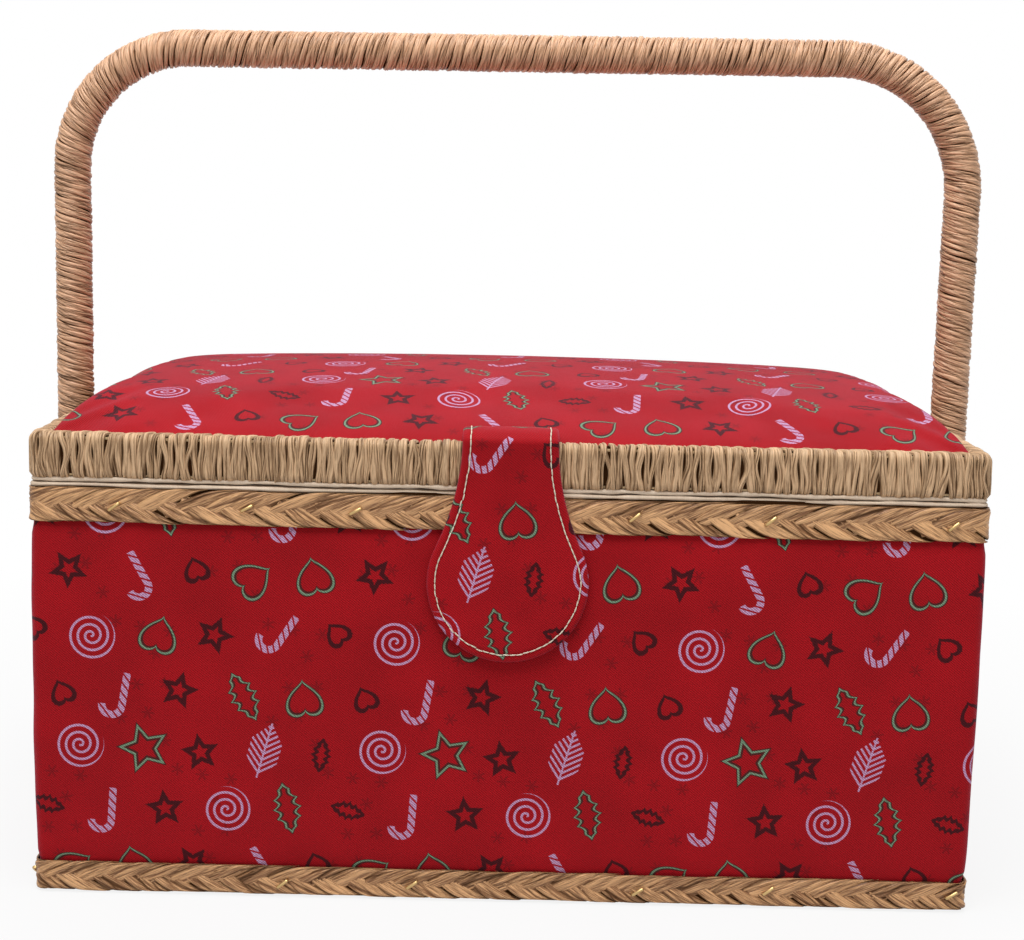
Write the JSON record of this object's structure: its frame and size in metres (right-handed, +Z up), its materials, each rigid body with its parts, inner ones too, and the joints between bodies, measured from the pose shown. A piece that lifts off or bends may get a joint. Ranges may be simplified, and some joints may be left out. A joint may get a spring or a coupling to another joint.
{
  "type": "sewing basket",
  "caption": "Fabric-covered box-shaped sewing basket with a padded hinged lid, straw plait trim, a straw-wound carrying handle and a fabric closing tab.",
  "frame": {"origin": "middle of the flat underside, on the surface that the basket stands on", "axes": "+X along the front to the right, +Y from the front to the hinged back, +Z up"},
  "size_m": [0.3576, 0.2422, 0.3017],
  "materials": {
    "red_fabric": "printed cotton, fine diagonal weave, matte with a soft sheen",
    "cream_fabric": "plain cream cotton, matte",
    "board": "fibreboard, bare",
    "pine": "planed softwood, bare",
    "pale_straw": "wound paper straw, satin",
    "golden_straw": "plaited natural straw, satin",
    "foam": "open foam wadding",
    "tan_plastic": "moulded, matte",
    "steel": "zinc plated",
    "brass": "brass plated, satin",
    "magnet": "nickel plated magnet"
  },
  "bodies": {
    "basket": {"bottom_cover": "cream_fabric", "lining": "cream_fabric", "body_piping": "cream_fabric", "base_board": "board", "front_wall": "board", "back_wall": "board", "left_wall": "board", "right_wall": "board", "corner_post_front_left": "pine", "corner_post_front_right": "pine", "corner_post_rear_left": "pine", "corner_post_rear_right": "pine", "outer_cover": "red_fabric", "top_plait": "golden_straw", "base_plait": "golden_straw", "body_magnet": "magnet", "hinge_screw_body_left_inner": "steel", "hinge_screw_body_left_outer": "steel", "hinge_screw_body_right_inner": "steel", "hinge_screw_body_right_outer": "steel", "hinge_pin_left": "steel", "hinge_pin_right": "steel", "handle_bolt_left": "steel", "handle_bolt_right": "steel", "handle_spacer_left": "steel", "handle_spacer_right": "steel", "handle_nut_left": "steel", "handle_nut_right": "steel", "hinge_leaf_body_left": "brass", "hinge_leaf_body_right": "brass"},
    "lid": {"lid_board": "board", "lid_frame_front": "pine", "lid_frame_rear": "pine", "lid_frame_left": "pine", "lid_frame_right": "pine", "rim_wrap": "pale_straw", "foam_pad": "foam", "cushion_cover": "red_fabric", "lid_lining": "cream_fabric", "lid_piping": "cream_fabric", "tab_root": "red_fabric", "hinge_leaf_lid_left": "brass", "hinge_leaf_lid_right": "brass", "hinge_screw_lid_left_inner": "steel", "hinge_screw_lid_left_outer": "steel", "hinge_screw_lid_right_inner": "steel", "hinge_screw_lid_right_outer": "steel"},
    "tab": {"tab_front": "red_fabric", "tab_back": "red_fabric", "tab_stiffener": "board", "tab_magnet": "magnet"},
    "handle": {"handle_core": "tan_plastic", "handle_wrap": "pale_straw"}
  },
  "joints": [
    {"name": "lid_hinge", "type": "hinge", "parent": "basket", "child": "lid", "pos_m": [0, 0.1176, 0.14335], "axis": [-1, 0, 0], "range_deg": [0, 100]},
    {"name": "tab_fold", "type": "hinge", "parent": "lid", "child": "tab", "pos_m": [0, -0.1169, 0.1611], "axis": [-1, 0, 0], "range_deg": [0, 150]},
    {"name": "handle_swing", "type": "hinge", "parent": "basket", "child": "handle", "pos_m": [0, 0, 0.112], "axis": [-1, 0, 0], "range_deg": [0, 120]}
  ],
  "couplings": [
    {"joint": "handle_swing", "follows": "lid_hinge", "ratio": 1.2}
  ]
}
